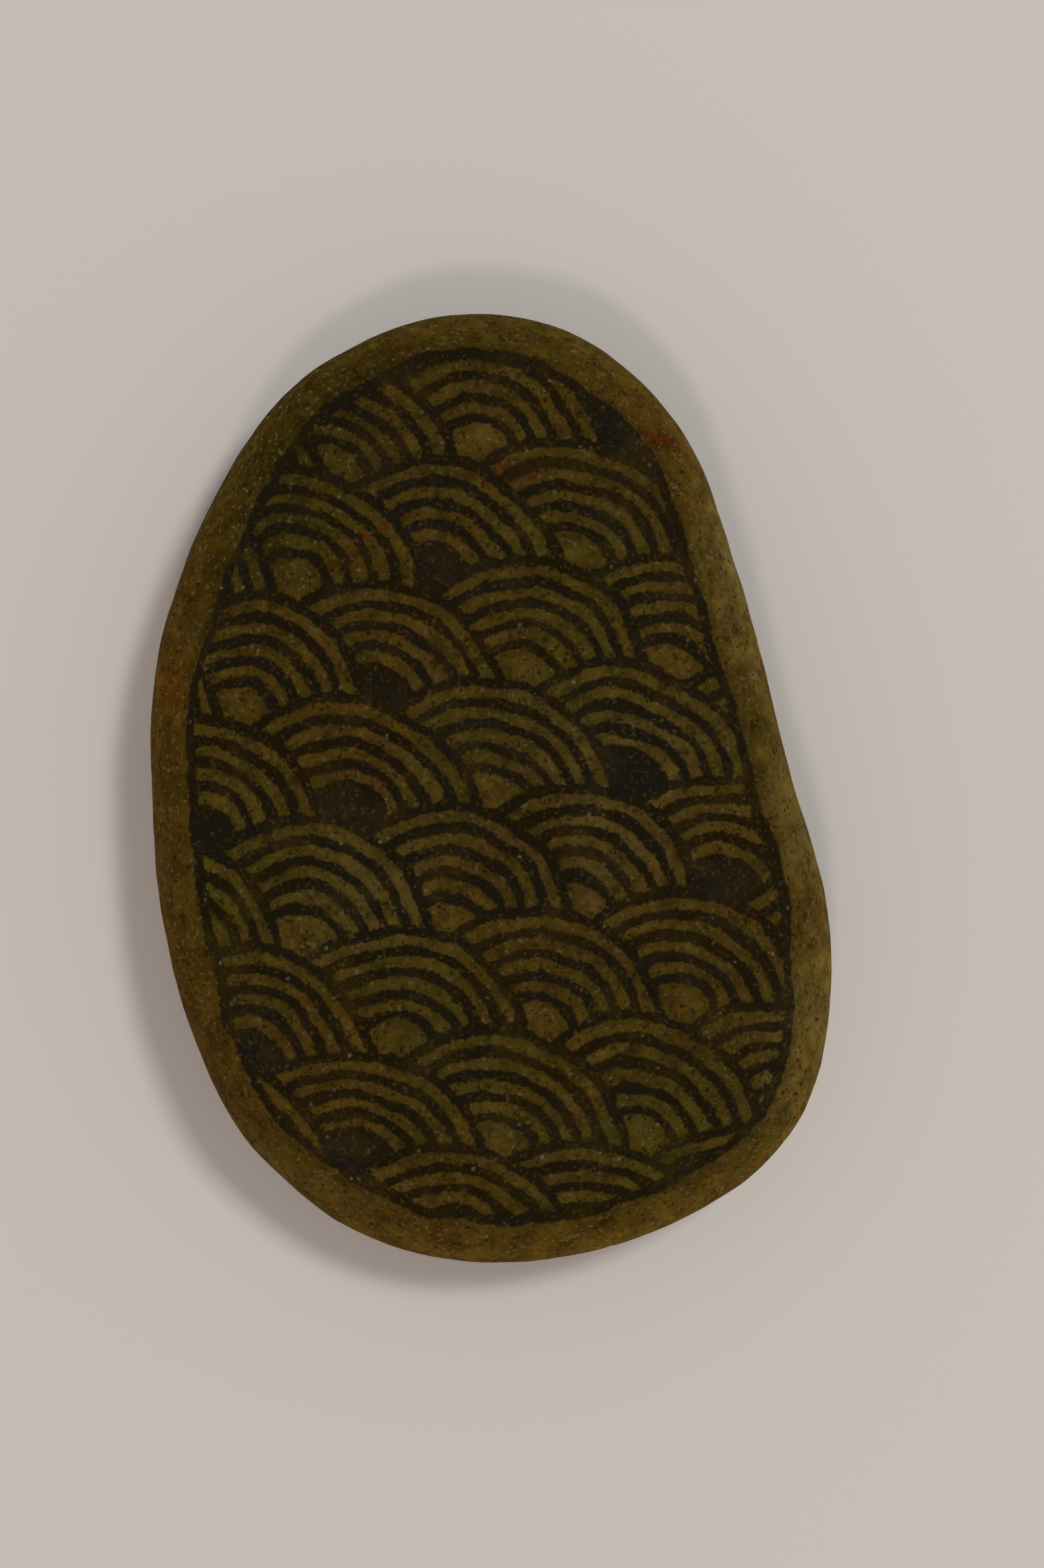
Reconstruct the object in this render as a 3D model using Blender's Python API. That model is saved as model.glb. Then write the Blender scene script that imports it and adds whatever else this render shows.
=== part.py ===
"""A flat river pebble, in metres with +Z up.

The pebble is one solid stone. It lies on its underside, with its long axis along Y and its
broad face up, and the origin is on the ground below the middle of its box.
"""

import math

import bmesh
import bpy
import numpy as np
from mathutils import Vector, noise

# Overall size
LENGTH = 0.095
WIDTH = 0.068
THICKNESS = 0.025

# Plan outline: how far the edge lies from the middle, in millimetres, at even steps
# counter-clockwise from +X. A smooth closed curve runs through these points.
EDGE_REACH_MM = (30, 29.5, 33.5, 42, 47.4, 45.3, 39.8, 35.8, 34, 35.8, 40.1, 45.5, 47.5, 47, 44.8, 36.5)

# Cross-section: an egg-like curve, squarer the higher its power
WAIST_SHARE = 0.48
CROWN_POWER = 2.55
BELLY_POWER = 2.35
REST_FLAT_SINK = 0.0004

# Thicker towards the broad end, in metres of height for each metre along Y
CROWN_SLOPE = -0.022
BELLY_SLOPE = 0.014

# Flats worn on the shoulders: compass angle, angle above the ground plane, depth in metres
WORN_FLATS = (
    (158, 50, 0.0011),
    (352, 38, 0.0008),
    (236, 46, 0.0010),
    (84, 42, 0.0008),
    (300, 58, 0.0006),
    (28, 62, 0.0005),
    (196, -40, 0.0011),
    (20, -47, 0.0009),
    (108, -38, 0.0008),
    (288, -44, 0.0012),
)
FLAT_SOFTNESS = 0.0007
FLAT_STRENGTH = 0.85

# Shallow hollows on the broad face: place in the plan, radius, depth
HOLLOWS = (
    ((0.015, 0.008), 0.013, 0.0005),
    ((-0.012, -0.022), 0.010, 0.0004),
    ((-0.006, 0.030), 0.009, 0.0003),
)

# Swells left by the water: distance from crest to crest, height
SWELLS = ((0.034, 0.0007), (0.013, 0.00022))

# Cells along each side of the cube that the stone is rounded from
GRID_CELLS = 24

STONE_COLOUR = (0.050, 0.032, 0.009, 1.0)
STONE_ROUGHNESS = 0.72


def clear_scene():
    for obj in list(bpy.data.objects):
        bpy.data.objects.remove(obj, do_unlink=True)


def new_collection(name):
    collection = bpy.data.collections.new(name)
    bpy.context.scene.collection.children.link(collection)
    return collection


def stone_material():
    material = bpy.data.materials.new("river_stone")
    material.use_nodes = True
    shader = material.node_tree.nodes["Principled BSDF"]
    shader.inputs["Base Color"].default_value = STONE_COLOUR
    shader.inputs["Roughness"].default_value = STONE_ROUGHNESS
    shader.inputs["Metallic"].default_value = 0.0
    return material


def edge_reach(angle):
    """Distance from the middle to the outline at each angle, through the points above."""
    reach = np.array(EDGE_REACH_MM) / 1000
    place = (angle % (2 * math.pi)) / (2 * math.pi) * len(reach)
    i = place.astype(int)
    t = place - i
    before, start, end, after = (reach[(i + k) % len(reach)] for k in (-1, 0, 1, 2))
    return 0.5 * (
        2 * start
        + (end - before) * t
        + (2 * before - 5 * start + 4 * end - after) * t**2
        + (3 * start - before - 3 * end + after) * t**3
    )


def rounded(cube_points):
    """Points of a cube moved onto a unit ball, with evenly turned rows."""
    turned = np.tan(cube_points * math.pi / 4)
    return turned / np.linalg.norm(turned, axis=1, keepdims=True)


def stone_form(ball):
    """Each point of the unit ball moved to the stone's smooth form."""
    angle = np.arctan2(ball[:, 1], ball[:, 0])
    level = ball[:, 2]
    across = np.hypot(ball[:, 0], ball[:, 1])
    power = 2 / np.where(level > 0, CROWN_POWER, BELLY_POWER)
    reach = edge_reach(angle) * across**power
    x = reach * np.cos(angle)
    y = reach * np.sin(angle)
    crown = THICKNESS * (1 - WAIST_SHARE) + CROWN_SLOPE * y
    belly = THICKNESS * WAIST_SHARE + BELLY_SLOPE * y
    z = np.sign(level) * np.abs(level) ** power * np.where(level > 0, crown, belly)
    return np.column_stack((x, y, z))


def wear_flat(points, compass, rise, depth):
    """Takes a soft-edged flat off the side that faces the given direction."""
    compass, rise = math.radians(compass), math.radians(rise)
    facing = np.array(
        (math.cos(rise) * math.cos(compass), math.cos(rise) * math.sin(compass), math.sin(rise))
    )
    along = points @ facing
    beyond = along - (along.max() - depth)
    overshoot = FLAT_SOFTNESS * np.logaddexp(0, beyond / FLAT_SOFTNESS)
    return points - FLAT_STRENGTH * overshoot[:, None] * facing


def press_hollow(points, middle, radius, depth):
    away = np.hypot(points[:, 0] - middle[0], points[:, 1] - middle[1]) / radius
    dip = depth * np.exp(-(away**2)) * (points[:, 2] > 0)
    return points - dip[:, None] * np.array((0, 0, 1))


def swell(points, ball, crest_gap, height):
    lift = np.array([noise.noise(Vector(p) / crest_gap) for p in points]) * height
    return points + lift[:, None] * ball


def fitted(points):
    """The form scaled to the overall size, with its lowest part worn to a flat at Z = 0."""
    size = np.array((WIDTH, LENGTH, THICKNESS + REST_FLAT_SINK))
    low, high = points.min(axis=0), points.max(axis=0)
    points = (points - (low + high) / 2) * size / (high - low)
    points[:, 2] += THICKNESS - points[:, 2].max()
    points[:, 2] = np.maximum(points[:, 2], 0)
    return points


def make_pebble(collection):
    shape = bmesh.new()
    bmesh.ops.create_cube(shape, size=2)
    bmesh.ops.subdivide_edges(shape, edges=shape.edges[:], cuts=GRID_CELLS - 1, use_grid_fill=True)
    ball = rounded(np.array([vert.co for vert in shape.verts]))
    points = stone_form(ball)
    for compass, rise, depth in WORN_FLATS:
        points = wear_flat(points, compass, rise, depth)
    for middle, radius, depth in HOLLOWS:
        points = press_hollow(points, middle, radius, depth)
    for crest_gap, height in SWELLS:
        points = swell(points, ball, crest_gap, height)
    for vert, place in zip(shape.verts, fitted(points)):
        vert.co = place
    bmesh.ops.recalc_face_normals(shape, faces=shape.faces[:])
    mesh = bpy.data.meshes.new("pebble")
    shape.to_mesh(mesh)
    shape.free()
    mesh.shade_smooth()
    mesh.materials.append(stone_material())
    pebble = bpy.data.objects.new("pebble", mesh)
    collection.objects.link(pebble)
    return pebble


clear_scene()
make_pebble(new_collection("river_pebble"))
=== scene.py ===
"""The looks of a flat river pebble that has pen lines drawn on its broad face.

The stone's fine surface is a dense mesh laid over the plain solid. Its relief and pits are real
shape, and its grain, stains, ink, painted glints, and painted light and shade on its edge and top
are a material. Lengths are in metres, apart from names that end in _MM and values whose comment
says mm.
"""

import math

import bmesh
import bpy
import numpy as np
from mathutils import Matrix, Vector, kdtree, noise
from mathutils.bvhtree import BVHTree


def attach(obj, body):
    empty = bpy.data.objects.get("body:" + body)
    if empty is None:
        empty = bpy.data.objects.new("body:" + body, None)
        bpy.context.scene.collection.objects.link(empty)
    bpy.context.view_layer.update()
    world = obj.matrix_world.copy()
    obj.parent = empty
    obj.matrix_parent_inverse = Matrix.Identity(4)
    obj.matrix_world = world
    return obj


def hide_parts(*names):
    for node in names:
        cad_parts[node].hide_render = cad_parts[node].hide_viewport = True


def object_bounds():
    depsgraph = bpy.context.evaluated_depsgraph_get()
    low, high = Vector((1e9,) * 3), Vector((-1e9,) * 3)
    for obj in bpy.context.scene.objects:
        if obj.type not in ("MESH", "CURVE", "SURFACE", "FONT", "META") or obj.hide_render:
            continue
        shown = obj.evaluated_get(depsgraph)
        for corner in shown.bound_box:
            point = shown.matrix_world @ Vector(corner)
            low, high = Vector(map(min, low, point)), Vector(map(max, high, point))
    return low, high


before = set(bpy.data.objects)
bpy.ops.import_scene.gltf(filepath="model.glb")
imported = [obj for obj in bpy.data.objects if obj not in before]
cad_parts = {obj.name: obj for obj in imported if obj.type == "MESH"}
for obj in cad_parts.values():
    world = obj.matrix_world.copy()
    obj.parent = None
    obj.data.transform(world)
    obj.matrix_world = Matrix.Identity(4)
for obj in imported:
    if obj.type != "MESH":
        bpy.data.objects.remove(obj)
cad_low, cad_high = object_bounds()

MM = 0.001
SEED = 41

# Dense mesh
TOP_CELLS = 264
TOP_SHARE = 0.94
EDGE_RINGS = 14
SECTION_POWER = 2.5
WAIST_SHARE = 0.48
EASING_ROUNDS = 30
WELD_DISTANCE = 1e-6
ROUNDING_LEVELS = 2
OUTLINE_STEPS = 720

# Surface relief: distance between crests and height
RELIEF_MM = ((9.0, 0.16), (3.0, 0.07), (1.1, 0.025))
RELIEF_SHIFT = 7.3

# Pits: a pit's radius in mm is a number from the range raised to the power, so most are small
PIT_COUNT = 360
PIT_RANGE = (0.3, 0.95)
PIT_POWER = 1.5
PIT_DEPTH_SHARE = 0.3
PIT_UNEVENNESS = 0.35
PIT_UNEVEN_MM = 0.7
PIT_SHIFT = 3.1
PIT_SEARCH_RADII = 1.6

# Pen pattern: rows of fans, like scales or waves, drawn by hand inside a border line
LINE_WIDTH_MM = 1.06
LINE_GAP_MM = 2.1
BORDER_INSET_MM = 4.9
FAN_REACH_MM = 12.6
FAN_LINES = 5
FILLED_SHARE = 0.25
FAN_LEAN_DEGREES = -20
FAN_SPREAD_MM = 24.7
FAN_JITTER_MM = 0.7
ROW_STEP_MM = 6.3
FIRST_ROW_MM = 60.0
ROWS = 20
COLUMNS = range(-3, 4)
CLEAR_OF_INK_MM = 9.0

# Unsteady hand: distance between crests, and how far a line strays or by which share of its
# width it swells
WANDER_MM = ((14.0, 1.0), (4.5, 0.42), (1.8, 0.13))
WANDER_SHIFTS = (5.7, 16.7)
WIDTH_WANDER_MM = ((9.0, 0.28), (2.0, 0.3))

# Flat map: map units for each metre and place of each half's middle, and how far the steep
# sides spread out
UPPER_MAP_SCALE = 8.6
UPPER_MAP_MIDDLE = (0.352, 0.5)
LOWER_MAP_SCALE = 3.7
LOWER_MAP_MIDDLE = (0.845, 0.3)
SIDE_SPREAD = 0.55

# Floor and room
FLOOR_SIZE = 12
FLOOR_COLOUR = (0.69, 0.635, 0.585, 1)
FLOOR_ROUGHNESS = 0.7
BRIGHT_WALL_COMPASS = 320
BRIGHT_WALL = (0.60, 0.565, 0.55, 1)
DIM_WALL = (0.40, 0.385, 0.39, 1)
CEILING = (0.36, 0.34, 0.355, 1)
CEILING_RISE = (0.05, 0.6)

# Soft lights: name, compass angle, rise, distance, size, power, colour
LIGHTS = (
    ("window_right", 40, 66, 1.6, 0.24, 8.7, (0.92, 1.0, 0.96)),
    ("lamp_near", 262, 65, 1.6, 0.18, 4.1, (1.0, 0.86, 0.72)),
)

# Photograph's frame
PHOTO_WIDTH_PX = 1568
PHOTO_HEIGHT_PX = 2356
PX_PER_M = 15000
STONE_MIDDLE_PX = (738.0, 1182.5)
LENS_MM = 85
SENSOR_MM = 36


def smooth_solid(node):
    """A search tree over the CAD stone with its facets rounded."""
    shape = bmesh.new()
    shape.from_mesh(node.data)
    bmesh.ops.remove_doubles(shape, verts=shape.verts[:], dist=WELD_DISTANCE)
    mesh = bpy.data.meshes.new("rounded_form")
    shape.to_mesh(mesh)
    shape.free()
    form = bpy.data.objects.new("rounded_form", mesh)
    bpy.context.scene.collection.objects.link(form)
    rounding = form.modifiers.new("rounding", "SUBSURF")
    rounding.levels = ROUNDING_LEVELS
    rounding.render_levels = ROUNDING_LEVELS
    tree = BVHTree.FromObject(form, bpy.context.evaluated_depsgraph_get())
    bpy.data.objects.remove(form)
    bpy.data.meshes.remove(mesh)
    return tree


def disc_places(cells):
    """Distance from the middle and angle of each point of a square grid bent onto a disc."""
    row = np.linspace(-1, 1, cells + 1)
    x, y = np.meshgrid(row, row)
    sideways = np.abs(x) >= np.abs(y)
    far = np.where(sideways, x, y)
    near = np.where(sideways, y, x)
    lean = math.pi / 4 * near / np.where(far == 0, 1, far)
    angle = np.where(sideways, lean, math.pi / 2 - lean) + math.pi * (far < 0)
    return np.abs(far).ravel(), angle.ravel()


def disc_index(cells):
    return np.arange((cells + 1) ** 2).reshape(cells + 1, cells + 1)


def disc_rim(cells):
    """The grid's outer points, counter-clockwise from its lower right corner."""
    at = disc_index(cells)
    return np.concatenate((at[:-1, -1], at[-1, :0:-1], at[:0:-1, 0], at[0, :-1]))


def disc_faces(cells):
    at = disc_index(cells)
    corners = (at[:-1, :-1], at[:-1, 1:], at[1:, 1:], at[1:, :-1])
    return np.stack(corners, axis=-1).reshape(-1, 4)


def strip_faces(upper, lower):
    """Faces between two rings. The lower one has as many points, or half as many."""
    after = np.roll(lower, -1)
    if len(upper) == len(lower):
        return np.stack((upper, lower, after, np.roll(upper, -1)), axis=-1).tolist()
    start, middle, end = upper[0::2], upper[1::2], np.roll(upper[0::2], -1)
    faces = [(start, lower, middle), (middle, lower, after), (middle, after, end)]
    return np.concatenate([np.stack(face, axis=-1) for face in faces]).tolist()


def section(turn):
    """Shares of the reach and of the height, at an angle turned down from the top."""
    power = 2 / SECTION_POWER
    across = np.sin(turn) ** power
    height = np.sign(np.cos(turn)) * np.abs(np.cos(turn)) ** power
    return across, height


def cap_aims(cells, side):
    """Aims of the points of a disc that closes the stone above (side 1) or below (side -1)."""
    places, angles = disc_places(cells)
    across = places * TOP_SHARE
    height = (1 - across**SECTION_POWER) ** (1 / SECTION_POWER)
    return np.column_stack((angles, across, side * height))


def stone_grid():
    """Aim of each point as angle, share of the reach and share of the height, with the faces."""
    low_cells = TOP_CELLS // 4
    rings = 2 * TOP_CELLS
    edge_turn = math.asin(TOP_SHARE ** (SECTION_POWER / 2))
    upper_turns = np.linspace(edge_turn, math.pi / 2, EDGE_RINGS + 1)[1:]
    turns = np.concatenate((upper_turns, math.pi - upper_turns[-2::-1]))
    aims = [cap_aims(TOP_CELLS, 1)]
    upper_faces = disc_faces(TOP_CELLS).tolist()
    lower_faces = []
    ring = disc_rim(TOP_CELLS)
    count = len(aims[0])
    ring_angles = np.arange(rings) / rings * 2 * math.pi - math.pi / 4
    for step, turn in enumerate(turns):
        reach, height = section(turn)
        aims.append(np.column_stack((ring_angles, np.full(rings, reach), np.full(rings, height))))
        following = count + np.arange(rings)
        faces = upper_faces if step < EDGE_RINGS else lower_faces
        faces.extend(strip_faces(ring, following))
        ring, count = following, count + rings
    aims.append(cap_aims(low_cells, -1))
    lower_faces.extend(strip_faces(ring, count + disc_rim(low_cells)))
    lower_faces.extend((count + disc_faces(low_cells)[:, ::-1]).tolist())
    return np.concatenate(aims), upper_faces, lower_faces


def cast_reach(tree, middle, angles):
    """How far the stone reaches from its middle, level with it, at each angle."""
    reach = []
    for angle in angles:
        hit = tree.ray_cast(middle, Vector((math.cos(angle), math.sin(angle), 0)))
        reach.append(hit[3])
    return np.array(reach)


def laid_on(tree, aims):
    """The grid's points where rays from the stone's middle meet its surface."""
    middle = Vector((0, 0, cad_high.z * WAIST_SHARE))
    angles = np.linspace(0, 2 * math.pi, OUTLINE_STEPS + 1)
    reach = np.interp(aims[:, 0] % (2 * math.pi), angles, cast_reach(tree, middle, angles))
    height = np.where(aims[:, 2] > 0, cad_high.z - middle.z, middle.z)
    flat = reach * aims[:, 1]
    x = flat * np.cos(aims[:, 0])
    y = flat * np.sin(aims[:, 0])
    rays = np.column_stack((x, y, height * aims[:, 2]))
    return np.array([tree.ray_cast(middle, Vector(ray))[0] for ray in rays])


def eased(points, edges, rounds):
    """Points drawn towards the middle of their neighbours, which takes the facets off."""
    size = len(points)
    start, end = edges[:, 0], edges[:, 1]
    neighbours = np.bincount(edges.ravel(), minlength=size)
    for _ in range(rounds):
        for axis in range(3):
            along = points[:, axis]
            total = np.bincount(start, along[end], size) + np.bincount(end, along[start], size)
            points[:, axis] = (along + total / neighbours) / 2
    return points


def fitted(points):
    """The points scaled back to the CAD stone's box, which the easing shrinks a little."""
    low, high = points.min(axis=0), points.max(axis=0)
    share = (points - low) / (high - low)
    return np.array(cad_low) + share * (np.array(cad_high) - np.array(cad_low))


def mesh_edges(mesh):
    edges = np.empty(len(mesh.edges) * 2, np.int32)
    mesh.edges.foreach_get("vertices", edges)
    return edges.reshape(-1, 2)


def mesh_normals(mesh):
    normals = np.empty(len(mesh.vertices) * 3, np.float32)
    mesh.vertex_normals.foreach_get("vector", normals)
    return normals.reshape(-1, 3).astype(float)


def set_points(mesh, points):
    mesh.vertices.foreach_set("co", points.astype(np.float32).ravel())
    mesh.update()


def noise_at(points, crest_gap, shift):
    """Smooth noise from -1 to 1 at each point."""
    return np.array([noise.noise(Vector(place)) for place in points / crest_gap + shift])


def relief_of(points):
    """Height of the water-worn relief and depth of the pits at each point."""
    relief = np.zeros(len(points))
    for step, (crest_gap, height) in enumerate(RELIEF_MM):
        relief += noise_at(points, crest_gap * MM, RELIEF_SHIFT * step) * height * MM
    rng = np.random.default_rng(SEED)
    pits = np.zeros(len(points))
    uneven = 1 + PIT_UNEVENNESS * noise_at(points, PIT_UNEVEN_MM * MM, PIT_SHIFT)
    for middle in points[rng.integers(0, len(points), PIT_COUNT)]:
        radius = rng.uniform(*PIT_RANGE) ** PIT_POWER * MM
        near = np.flatnonzero(np.abs(points - middle).max(axis=1) < PIT_SEARCH_RADII * radius)
        away = np.linalg.norm(points[near] - middle, axis=1) / radius * uneven[near]
        depth = radius * PIT_DEPTH_SHARE * np.clip(1 - away**2, 0, 1) ** 2
        pits[near] = np.maximum(pits[near], depth)
    return relief, pits


def plan_outline(tree):
    """Points along the stone's edge as seen from above."""
    middle = Vector((0, 0, cad_high.z * WAIST_SHARE))
    angles = np.linspace(0, 2 * math.pi, OUTLINE_STEPS, endpoint=False)
    reach = cast_reach(tree, middle, angles)
    return np.column_stack((reach * np.cos(angles), reach * np.sin(angles)))


def inset_from(outline, places):
    """How far inside the outline each place lies."""
    search = kdtree.KDTree(len(outline))
    for index, (x, y) in enumerate(outline):
        search.insert((x, y, 0), index)
    search.balance()
    return np.array([search.find((x, y, 0))[2] for x, y in places])


def fans():
    """Middle of each of the pattern's fans and whether its core is filled, back row first."""
    rng = np.random.default_rng(SEED)
    lean = math.radians(FAN_LEAN_DEGREES)
    listed = []
    for row in range(ROWS):
        back = FIRST_ROW_MM - row * ROW_STEP_MM
        for column in COLUMNS:
            aside = (column + row % 2 / 2) * FAN_SPREAD_MM
            place = (
                aside * math.cos(lean) - back * math.sin(lean),
                aside * math.sin(lean) + back * math.cos(lean),
            )
            middle = np.array(place) + rng.uniform(-FAN_JITTER_MM, FAN_JITTER_MM, 2)
            listed.append((middle, rng.random() < FILLED_SHARE))
    return listed


def wandered(flat):
    """Places in millimetres, moved aside a little as an unsteady hand would draw them."""
    moved = flat[:, :2] / MM
    for crest_gap, height in WANDER_MM:
        for axis, shift in enumerate(WANDER_SHIFTS):
            moved[:, axis] += noise_at(flat, crest_gap * MM, shift + crest_gap) * height
    return moved


def pen_gap(points, outline):
    """Signed distance in millimetres from the edge of the nearest pen line, below 0 in the ink."""
    flat = points * (1, 1, 0)
    places = wandered(flat)
    half_width = np.full(len(points), LINE_WIDTH_MM / 2)
    for crest_gap, share in WIDTH_WANDER_MM:
        half_width *= 1 + share * noise_at(flat, crest_gap * MM, crest_gap)
    gap = np.full(len(points), CLEAR_OF_INK_MM)
    for middle, filled in fans():
        away = FAN_REACH_MM - np.hypot(*(places - middle).T)
        line = np.clip(np.round(away / LINE_GAP_MM), 0, FAN_LINES - 1)
        beyond = away - line * LINE_GAP_MM
        inside = np.where(filled & (line == FAN_LINES - 1), -beyond, np.abs(beyond)) - half_width
        gap = np.where(away > 0, inside, np.minimum(gap, -away - half_width))
    inset = inset_from(outline, places * MM) / MM
    border = np.abs(inset - BORDER_INSET_MM) - half_width
    gap = np.where(inset > BORDER_INSET_MM, np.minimum(gap, border), border)
    return np.where(points[:, 2] > cad_high.z * WAIST_SHARE, gap, CLEAR_OF_INK_MM)


def set_map(mesh, upper_count):
    """A flat map for each half of the stone, the drawn half at the larger scale."""
    loops = np.empty(len(mesh.loops), np.int32)
    mesh.loops.foreach_get("vertex_index", loops)
    points = np.empty(len(mesh.vertices) * 3, np.float32)
    mesh.vertices.foreach_get("co", points)
    points = points.reshape(-1, 3)[loops].astype(float)
    starts = np.empty(len(mesh.polygons), np.int32)
    mesh.polygons.foreach_get("loop_start", starts)
    upper = np.arange(len(loops)) < starts[upper_count]
    away = np.hypot(points[:, 0], points[:, 1])
    drop = np.where(upper, cad_high.z - points[:, 2], points[:, 2])
    stretch = (away + SIDE_SPREAD * drop) / np.maximum(away, 1e-9)
    scale = np.where(upper, UPPER_MAP_SCALE, LOWER_MAP_SCALE)
    x = points[:, 0] * stretch * scale
    y = points[:, 1] * stretch * scale
    u = np.where(upper, UPPER_MAP_MIDDLE[0] + x, LOWER_MAP_MIDDLE[0] - x)
    v = np.where(upper, UPPER_MAP_MIDDLE[1] + y, LOWER_MAP_MIDDLE[1] + y)
    layer = mesh.uv_layers.new(name="OFBake")
    layer.data.foreach_set("uv", np.column_stack((u, v)).astype(np.float32).ravel())


def set_attribute(mesh, name, values):
    attribute = mesh.attributes.new(name, "FLOAT", "POINT")
    attribute.data.foreach_set("value", values.astype(np.float32))


def make_stone():
    """The visible stone, with the pen pattern and the pits as attributes."""
    tree = smooth_solid(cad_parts["pebble"])
    aims, upper_faces, lower_faces = stone_grid()
    mesh = bpy.data.meshes.new("pebble_stone")
    points = laid_on(tree, aims)
    mesh.from_pydata(points.tolist(), [], upper_faces + lower_faces)
    points = fitted(eased(points, mesh_edges(mesh), EASING_ROUNDS))
    set_points(mesh, points)
    outline = plan_outline(tree)
    gap = pen_gap(points, outline)
    relief, pits = relief_of(points)
    points = points + mesh_normals(mesh) * (relief - pits)[:, None]
    points[:, 2] = np.clip(points[:, 2], 0, None)
    set_points(mesh, points)
    set_attribute(mesh, "pen_gap", gap)
    set_attribute(mesh, "pit", pits / MM)
    set_map(mesh, len(upper_faces))
    mesh.shade_smooth()
    stone = bpy.data.objects.new("pebble_stone", mesh)
    bpy.context.scene.collection.objects.link(stone)
    return stone


# Numbers of the mixing node's sockets for colours, whose names its other sockets share
MIX_SHARE = 0
MIX_FIRST = 6
MIX_SECOND = 7
MIX_RESULT = 2


def add_node(tree, kind, inputs, output=0, **settings):
    """Adds a shader node with its settings and inputs, and returns one of its outputs."""
    node = tree.nodes.new(kind)
    for name, value in settings.items():
        setattr(node, name, value)
    for socket, value in inputs.items():
        if isinstance(value, bpy.types.NodeSocket):
            tree.links.new(value, node.inputs[socket])
        else:
            node.inputs[socket].default_value = value
    return node.outputs[output]


def grain_noise(tree, where, crest_gap_mm, detail, roughness, offset):
    settings = {
        "Vector": where,
        "W": offset,
        "Scale": 1 / (crest_gap_mm * MM),
        "Detail": detail,
        "Roughness": roughness,
    }
    return add_node(tree, "ShaderNodeTexNoise", settings, noise_dimensions="4D")


def ranged(tree, value, low, high, to_low=0.0, to_high=1.0):
    """The value moved smoothly from one range to another."""
    inputs = {"Value": value, "From Min": low, "From Max": high}
    inputs.update({"To Min": to_low, "To Max": to_high})
    return add_node(tree, "ShaderNodeMapRange", inputs, interpolation_type="SMOOTHSTEP")


def patterned(tree, where, name):
    """One of the noise patterns, moved to its range."""
    noise_values, span = PATTERNS[name]
    return ranged(tree, grain_noise(tree, where, *noise_values), *span)


def height_of(tree, where):
    return add_node(tree, "ShaderNodeSeparateXYZ", {0: where}, "Z")


def attribute_of(tree, name):
    return add_node(tree, "ShaderNodeAttribute", {}, "Fac", attribute_name=name)


def combined(tree, operation, first, second):
    return add_node(tree, "ShaderNodeMath", {0: first, 1: second}, operation=operation)


def tinted(tree, share, first, second, mode="MIX"):
    """Two colours mixed by a share, or the first one multiplied by the second."""
    inputs = {MIX_SHARE: share, MIX_FIRST: first, MIX_SECOND: second}
    settings = {"data_type": "RGBA", "blend_type": mode}
    return add_node(tree, "ShaderNodeMix", inputs, MIX_RESULT, **settings)


# Stone colours
OLIVE = (0.081, 0.051, 0.0046, 1)
BROWN = (0.091, 0.047, 0.0044, 1)
DARK_GRAIN = (0.015, 0.008, 0.0006, 1)
PALE_GRAIN = (0.190, 0.145, 0.060, 1)
RUST = (0.110, 0.024, 0.002, 1)
RUSSET = (0.086, 0.036, 0.002, 1)
OCHRE = (0.115, 0.053, 0.003, 1)
# Painted shade: a darker olive laid where less light falls
PAINTED_SHADE_OLIVE = (0.044, 0.028, 0.0012, 1)
# Pale colour for pale patches on the face, and painted light on the edge
WEAR_AND_PAINTED_LIGHT = (0.132, 0.085, 0.0165, 1)
# Bright grains; their colour also holds painted glints
GLINT = (0.20, 0.165, 0.085, 1)
BLACK_INK = (0.0125, 0.0104, 0.0068, 1)
BROWN_INK = (0.0150, 0.0090, 0.0022, 1)

# Tints that the stone's colours are multiplied by
GREENER = (0.93, 1.04, 1.1, 1)
REDDER = (1.07, 0.96, 0.9, 1)
FACE_TINT = (0.975, 1.055, 1.32, 1)

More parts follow.
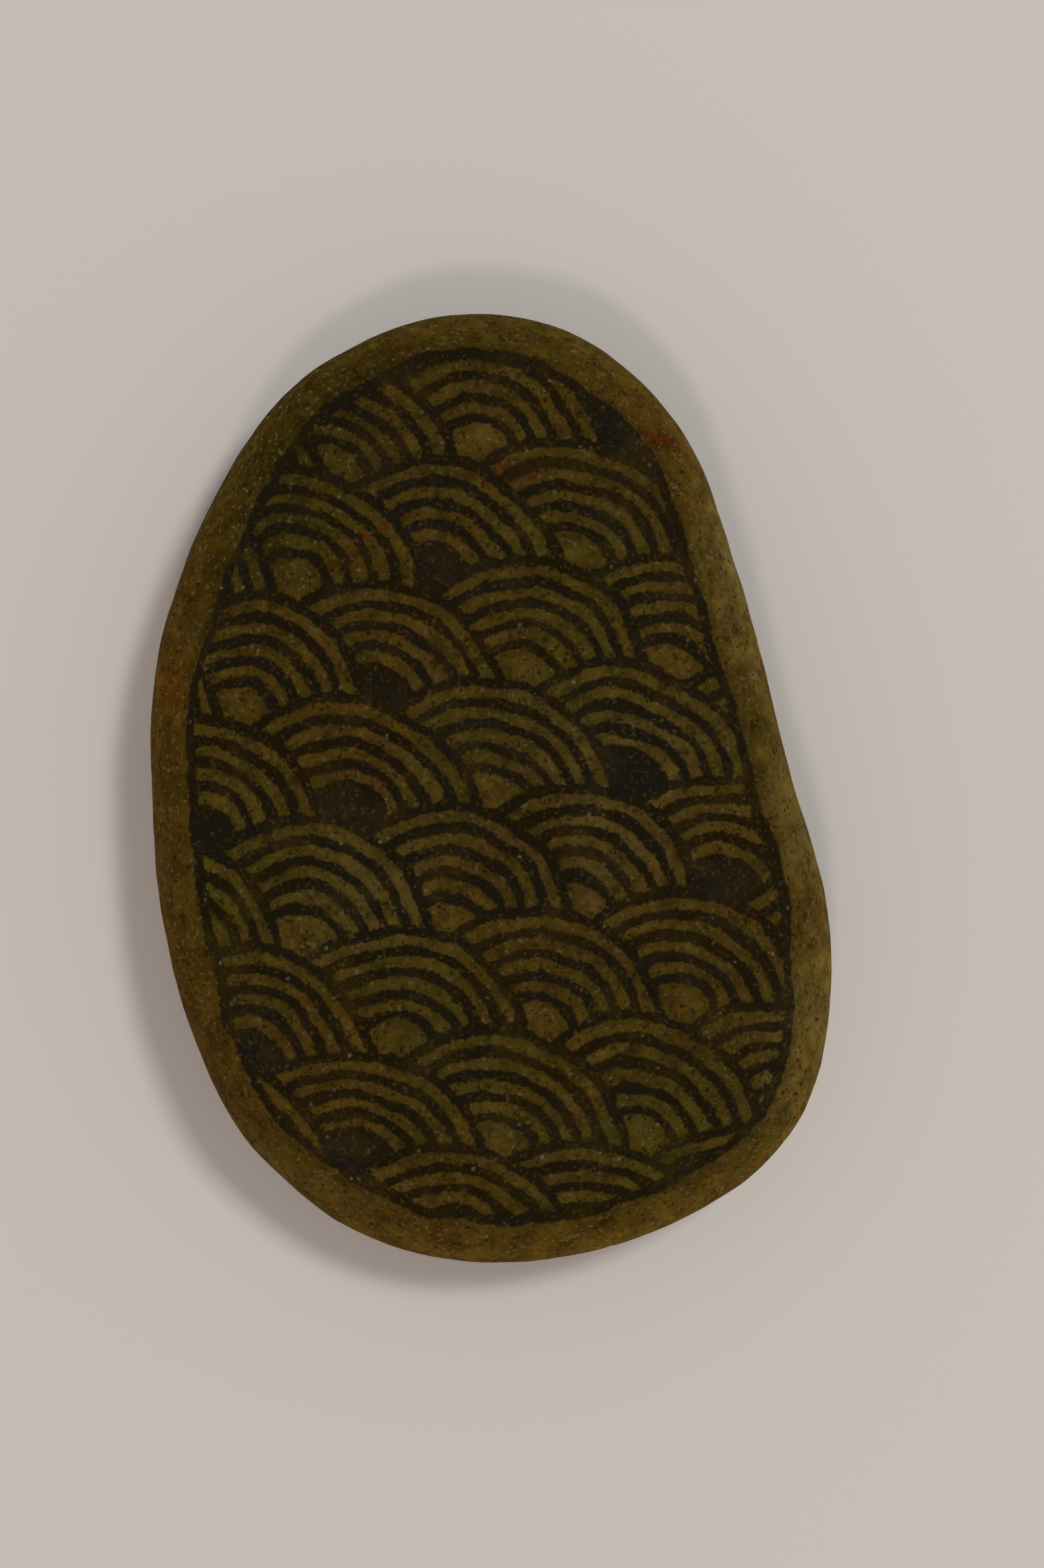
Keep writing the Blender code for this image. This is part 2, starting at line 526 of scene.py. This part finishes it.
# Stains, pale patches, painted light along the right-hand edge and painted shade on the top
# and upper left: middle, half widths in X and Y, turn in degrees, colour, strength
STAINS_PAINTED_LIGHT_AND_SHADE_MM = (
    ((1.9, 30.6), (3.4, 1.3), 4, RUST, 0.9),
    ((-11.0, 25.0), (4.2, 0.6), 25, RUST, 0.7),
    ((-14.5, 22.0), (2.5, 0.5), 35, RUST, 0.6),
    ((-31.5, 9.0), (2.2, 3.6), 10, RUST, 0.45),
    ((17.0, 34.2), (2.8, 0.7), -12, RUST, 0.85),
    # Painted light along the right-hand edge
    ((24.0, 20.0), (3.0, 11.0), 14, WEAR_AND_PAINTED_LIGHT, 0.95),
    ((30.0, -3.0), (2.6, 9.0), 14, WEAR_AND_PAINTED_LIGHT, 0.85),
    ((31.0, -23.0), (3.6, 11.0), -16, WEAR_AND_PAINTED_LIGHT, 0.85),
    # Painted shade on the top and upper left
    ((-19.0, 37.5), (4.5, 14.0), -47, PAINTED_SHADE_OLIVE, 0.75),
    ((-30.5, 21.0), (4.0, 11.0), -28, PAINTED_SHADE_OLIVE, 0.35),
    ((-3.0, 45.0), (12.0, 3.5), 4, PAINTED_SHADE_OLIVE, 0.4),
    ((-23.0, 24.0), (7.0, 12.0), -35, PAINTED_SHADE_OLIVE, 0.6),
    ((-12.0, 36.0), (8.0, 5.0), 25, PAINTED_SHADE_OLIVE, 0.35),
    # Pale patches on the face
    ((12.0, -2.0), (9.0, 11.0), 0, WEAR_AND_PAINTED_LIGHT, 0.35),
    ((-12.0, -9.0), (7.0, 9.0), 0, WEAR_AND_PAINTED_LIGHT, 0.3),
    ((-32.5, 2.0), (3.5, 14.0), 0, RUSSET, 0.5),
    ((-29.0, -22.0), (4.0, 16.0), 18, RUSSET, 0.5),
    ((4.0, -30.0), (6.0, 3.0), 30, OCHRE, 0.3),
    ((2.0, -46.0), (17.0, 4.0), 4, OCHRE, 0.4),
)

# A stain or painted patch starts and is full at these distances from its middle, in half widths,
# made ragged
PATCH_FADE = (1.3, 0.35)
RAGGEDNESS = 2.6

# Heights in metres between which the colour changes, and what it changes by. The edge's painted
# light and the painted shade round the broad face change by height.
PATCH_HEIGHTS = (0.008, 0.014)
PAINTED_EDGE_LIGHT_HEIGHTS = (0.0205, 0.0165, 0.0, 0.1)
FACE_HEIGHTS = (0.018, 0.021)
PAINTED_EDGE_SHADING = (0.0179, 0.0156, 0.86, 1.13)
PAINTED_FACE_SHADING = (0.0185, 0.0205, 1.0, 1.16)

# Noise patterns: distance between crests in mm, detail, roughness and offset, then the part of
# the noise's range that counts and what it is moved to
PATTERNS = {
    "drift": ((22, 2, 0.5, 0.0), (0.35, 0.65)),
    "painted_light_patches": ((9.0, 4, 0.6, 27.0), (0.4, 0.6, 0.1, 1.0)),
    "mottle": ((2.4, 3, 0.6, 2.0), (0.25, 0.75, 0.66, 1.36)),
    "clumps": ((1.5, 2, 0.6, 33.0), (0.3, 0.7, 0.84, 1.16)),
    "hue": ((0.9, 3, 0.65, 36.0), (0.35, 0.65)),
    "dark_grain": ((0.45, 2, 0.6, 7.0), (0.47, 0.3, 0.0, 0.85)),
    "pale_grain": ((0.5, 2, 0.6, 9.0), (0.54, 0.76, 0.0, 0.75)),
    "glint_crowds": ((9.0, 2, 0.5, 30.0), (0.4, 0.62, -0.03, 0.0)),
    "broken_ink": ((0.42, 2, 0.6, 15.0), (0.53, 0.72, 1.0, 0.4)),
    "thin_ink": ((6.0, 3, 0.6, 18.0), (0.33, 0.55, 0.8, 1.0)),
    "worn_ink": ((8.0, 3, 0.6, 24.0), (0.4, 0.6, 0.0, 0.5)),
    "roughness": ((0.8, 3, 0.6, 21.0), (0.3, 0.7, 0.6, 0.85)),
}

# Noise that roughens edges and the surface, by the same four values. The offset of the glints'
# noise is their size.
RAGGED_NOISE = (1.6, 4, 0.6, 4.0)
FRAY_NOISE = (0.7, 3, 0.65, 12.0)
GLINT_NOISE = (0.3, 1, 0.5)
BUMP_NOISE = (0.42, 3, 0.65, 7.0)

# Colour darkened in the deeper pits: depth in mm, and how much of it is left
PIT_DARKENING = (0.02, 0.2, 1.0, 0.6)

# Glints, painted into the colour of bright grains: size in mm and share of the cells without any
LARGE_GLINTS = (0.75, 0.93)
SMALL_GLINTS = (0.45, 0.85)
SMALL_GLINT_STRENGTH = 0.25
BRIGHTEST_GLINT = 1.02
GLINT_FADE = (0.40, 0.08)
GLINT_SHIFT_MM = 0.35

# Ink: distance in mm from the edge of a line, below 0 in it, and share of ink or of brown
FRAY_MM = 0.95
INK_EDGE = (0.16, -0.14)
RUBBED_INK = (1.1, 0.1, 0.0, 0.22)
NARROW_INK = (-1.2, -0.5, 0.0, 0.5)

# Surface
DIFFUSE_ROUGHNESS = 1.0
SPECULAR_LEVEL = 0.02
INK_GLOSS = 0.08
GLINT_GLOSS = 0.3
BUMP_STRENGTH = 0.9
BUMP_HEIGHT_MM = 0.16


def patch_share(tree, where, middle, sizes, lean, rough):
    """How strongly a stain or a painted patch of light or shade colours each place, fading towards
    its ragged edge.
    """
    inputs = {
        "Vector": where,
        "Location": (middle[0] * MM, middle[1] * MM, 0),
        "Rotation": (0, 0, math.radians(lean)),
        "Scale": (sizes[0] * MM, sizes[1] * MM, 1),
    }
    local = add_node(tree, "ShaderNodeMapping", inputs, vector_type="TEXTURE")
    flat = add_node(tree, "ShaderNodeVectorMath", {0: local, 1: (1, 1, 0)}, operation="MULTIPLY")
    length = add_node(tree, "ShaderNodeVectorMath", {0: flat}, "Value", operation="LENGTH")
    return ranged(tree, combined(tree, "ADD", length, rough), *PATCH_FADE)


def shaded(tree, colour, share):
    """The colour made lighter or darker by a share."""
    inputs = {0: colour, "Scale": share}
    return add_node(tree, "ShaderNodeVectorMath", inputs, operation="SCALE")


def with_stains_painted_light_and_shade(tree, where, colour):
    """The colour with the stains, pale patches, painted light and painted shade of the upper half
    laid over it.
    """
    ragged = combined(tree, "SUBTRACT", grain_noise(tree, where, *RAGGED_NOISE), 0.5)
    ragged = combined(tree, "MULTIPLY", ragged, RAGGEDNESS)
    upper = ranged(tree, height_of(tree, where), *PATCH_HEIGHTS)
    for middle, sizes, lean, patch_colour, strength in STAINS_PAINTED_LIGHT_AND_SHADE_MM:
        share = patch_share(tree, where, middle, sizes, lean, ragged)
        share = combined(tree, "MULTIPLY", combined(tree, "MULTIPLY", share, strength), upper)
        colour = tinted(tree, share, colour, patch_colour)
    return colour


def painted_edge_light(tree, where, colour):
    """The colour made paler in patches round the edge, as painted light."""
    # Painted light: paler patches round the edge, below the broad face
    share = ranged(tree, height_of(tree, where), *PAINTED_EDGE_LIGHT_HEIGHTS)
    share = combined(tree, "MULTIPLY", share, patterned(tree, where, "painted_light_patches"))
    return tinted(tree, share, colour, WEAR_AND_PAINTED_LIGHT)


def face_tint_and_painted_shading(tree, where, colour):
    """The colour made greyer on the broad face, with painted shade in a ring round it and painted
    light at the edge.
    """
    height = height_of(tree, where)
    colour = tinted(tree, ranged(tree, height, *FACE_HEIGHTS), colour, FACE_TINT, "MULTIPLY")
    # Painted light at the edge and painted shade in a ring round the broad face
    edge = ranged(tree, height, *PAINTED_EDGE_SHADING)
    face = ranged(tree, height, *PAINTED_FACE_SHADING)
    return shaded(tree, colour, combined(tree, "MULTIPLY", edge, face))


def stone_colour(tree, where):
    """Sandstone: broad drifts of colour, stains, mottling and single dark or pale grains, with
    painted light and painted shade on its edge and top.
    """
    colour = tinted(tree, patterned(tree, where, "drift"), OLIVE, BROWN)
    colour = with_stains_painted_light_and_shade(tree, where, painted_edge_light(tree, where, colour))
    colour = face_tint_and_painted_shading(tree, where, colour)
    mottle = patterned(tree, where, "mottle")
    clumps = patterned(tree, where, "clumps")
    colour = shaded(tree, colour, combined(tree, "MULTIPLY", mottle, clumps))
    colour = shaded(tree, colour, ranged(tree, attribute_of(tree, "pit"), *PIT_DARKENING))
    hue = tinted(tree, patterned(tree, where, "hue"), GREENER, REDDER)
    colour = tinted(tree, 1.0, colour, hue, "MULTIPLY")
    colour = tinted(tree, patterned(tree, where, "dark_grain"), colour, DARK_GRAIN)
    return tinted(tree, patterned(tree, where, "pale_grain"), colour, PALE_GRAIN)


def glint_share(tree, where, size_mm, bare_share):
    """Small bright grains of uneven strength, their brightness partly painted glints, in a few of
    the cells that fill the stone.
    """
    uneven = grain_noise(tree, where, *GLINT_NOISE, size_mm)
    inputs = {0: uneven, 1: (GLINT_SHIFT_MM * MM,) * 3, 2: where}
    moved = add_node(tree, "ShaderNodeVectorMath", inputs, operation="MULTIPLY_ADD")
    inputs = {"Vector": moved, "Scale": 1 / (size_mm * MM), "Randomness": 1.0}
    distance = add_node(tree, "ShaderNodeTexVoronoi", inputs, "Distance")
    pick = add_node(tree, "ShaderNodeTexVoronoi", inputs, "Color")
    chance = add_node(tree, "ShaderNodeSeparateColor", {0: pick}, 0)
    chance = combined(tree, "ADD", chance, patterned(tree, where, "glint_crowds"))
    near = ranged(tree, distance, *GLINT_FADE)
    strength = ranged(tree, chance, bare_share, BRIGHTEST_GLINT)
    return combined(tree, "MULTIPLY", near, strength)


def ink_share(tree, where):
    """The pen lines, ragged where the grain broke them, and the faint ink rubbed off round them."""
    fray = combined(tree, "SUBTRACT", grain_noise(tree, where, *FRAY_NOISE), 0.5)
    fray = combined(tree, "MULTIPLY", fray, FRAY_MM)
    edge = combined(tree, "ADD", attribute_of(tree, "pen_gap"), fray)
    line = ranged(tree, edge, *INK_EDGE)
    line = combined(tree, "MULTIPLY", line, patterned(tree, where, "broken_ink"))
    line = combined(tree, "MULTIPLY", line, patterned(tree, where, "thin_ink"))
    return combined(tree, "MAXIMUM", line, ranged(tree, edge, *RUBBED_INK))


def ink_colour(tree, where):
    """Black where the ink is broad and thick, browner in the lines and where it is worn."""
    narrow = ranged(tree, attribute_of(tree, "pen_gap"), *NARROW_INK)
    worn = patterned(tree, where, "worn_ink")
    return tinted(tree, combined(tree, "ADD", narrow, worn), BLACK_INK, BROWN_INK)


def glints(tree, where):
    """Large glints, and weaker small ones."""
    small = glint_share(tree, where, *SMALL_GLINTS)
    small = combined(tree, "MULTIPLY", small, SMALL_GLINT_STRENGTH)
    return combined(tree, "MAXIMUM", glint_share(tree, where, *LARGE_GLINTS), small)


def stone_material():
    material = bpy.data.materials.new("river_sandstone")
    material.use_nodes = True
    tree = material.node_tree
    shader = tree.nodes["Principled BSDF"]
    where = add_node(tree, "ShaderNodeTexCoord", {}, "Object")
    ink = ink_share(tree, where)
    glint = glints(tree, where)
    colour = tinted(tree, ink, stone_colour(tree, where), ink_colour(tree, where))
    # Bright grains, with painted glints
    colour = tinted(tree, glint, colour, GLINT)
    tree.links.new(colour, shader.inputs["Base Color"])
    roughness = patterned(tree, where, "roughness")
    for share, gloss in ((ink, INK_GLOSS), (glint, GLINT_GLOSS)):
        polish = combined(tree, "MULTIPLY", share, gloss)
        roughness = combined(tree, "SUBTRACT", roughness, polish)
    tree.links.new(roughness, shader.inputs["Roughness"])
    shader.inputs["Diffuse Roughness"].default_value = DIFFUSE_ROUGHNESS
    shader.inputs["Specular IOR Level"].default_value = SPECULAR_LEVEL
    grain = grain_noise(tree, where, *BUMP_NOISE)
    inputs = {"Strength": BUMP_STRENGTH, "Distance": BUMP_HEIGHT_MM * MM, "Height": grain}
    bump = add_node(tree, "ShaderNodeBump", inputs, "Normal")
    tree.links.new(bump, shader.inputs["Normal"])
    return material


def plain_material(name, colour, roughness):
    material = bpy.data.materials.new(name)
    material.use_nodes = True
    shader = material.node_tree.nodes["Principled BSDF"]
    shader.inputs["Base Color"].default_value = colour
    shader.inputs["Roughness"].default_value = roughness
    return material


def make_floor():
    bpy.ops.mesh.primitive_plane_add(size=FLOOR_SIZE)
    floor = bpy.context.object
    floor.name = "floor"
    floor.data.materials.append(plain_material("pale_floor", FLOOR_COLOUR, FLOOR_ROUGHNESS))


def make_light(name, compass, rise, distance, size, power, colour):
    """A soft square light that faces the stone from the given side."""
    compass, rise = math.radians(compass), math.radians(rise)
    level = math.cos(rise)
    away = Vector((level * math.cos(compass), level * math.sin(compass), math.sin(rise)))
    light = bpy.data.lights.new(name, "AREA")
    light.size = size
    light.energy = power
    light.color = colour
    lamp = bpy.data.objects.new(name, light)
    lamp.location = away * distance
    lamp.rotation_mode = "QUATERNION"
    lamp.rotation_quaternion = away.to_track_quat("Z", "Y")
    bpy.context.scene.collection.objects.link(lamp)


def make_world():
    """A soft room, brightest towards one side, whose walls are paler than its ceiling."""
    compass = math.radians(BRIGHT_WALL_COMPASS)
    world = bpy.data.worlds.new("soft_room")
    world.use_nodes = True
    tree = world.node_tree
    facing = add_node(tree, "ShaderNodeTexCoord", {}, "Generated")
    inputs = {0: facing, 1: (math.cos(compass), math.sin(compass), 0)}
    side = add_node(tree, "ShaderNodeVectorMath", inputs, "Value", operation="DOT_PRODUCT")
    walls = tinted(tree, ranged(tree, side, -1.0, 1.0), DIM_WALL, BRIGHT_WALL)
    overhead = ranged(tree, height_of(tree, facing), *CEILING_RISE)
    colour = tinted(tree, overhead, walls, CEILING)
    background = tree.nodes["Background"]
    tree.links.new(colour, background.inputs["Color"])
    background.inputs["Strength"].default_value = 1.0
    bpy.context.scene.world = world


def make_camera():
    """Straight down, at the photograph's framing of the stone."""
    camera = bpy.data.cameras.new("camera")
    camera.lens = LENS_MM
    camera.sensor_width = SENSOR_MM
    view_height = PHOTO_HEIGHT_PX / PX_PER_M
    eye = bpy.data.objects.new("camera", camera)
    eye.location = (
        (PHOTO_WIDTH_PX / 2 - STONE_MIDDLE_PX[0]) / PX_PER_M,
        (STONE_MIDDLE_PX[1] - PHOTO_HEIGHT_PX / 2) / PX_PER_M,
        cad_high.z * WAIST_SHARE + view_height * LENS_MM / SENSOR_MM,
    )
    bpy.context.scene.collection.objects.link(eye)
    bpy.context.scene.camera = eye


stone = make_stone()
stone.data.materials.append(stone_material())
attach(stone, "root")
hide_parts("pebble")

make_floor()
for values in LIGHTS:
    make_light(*values)
make_world()
make_camera()
bpy.context.scene.view_settings.view_transform = "Standard"
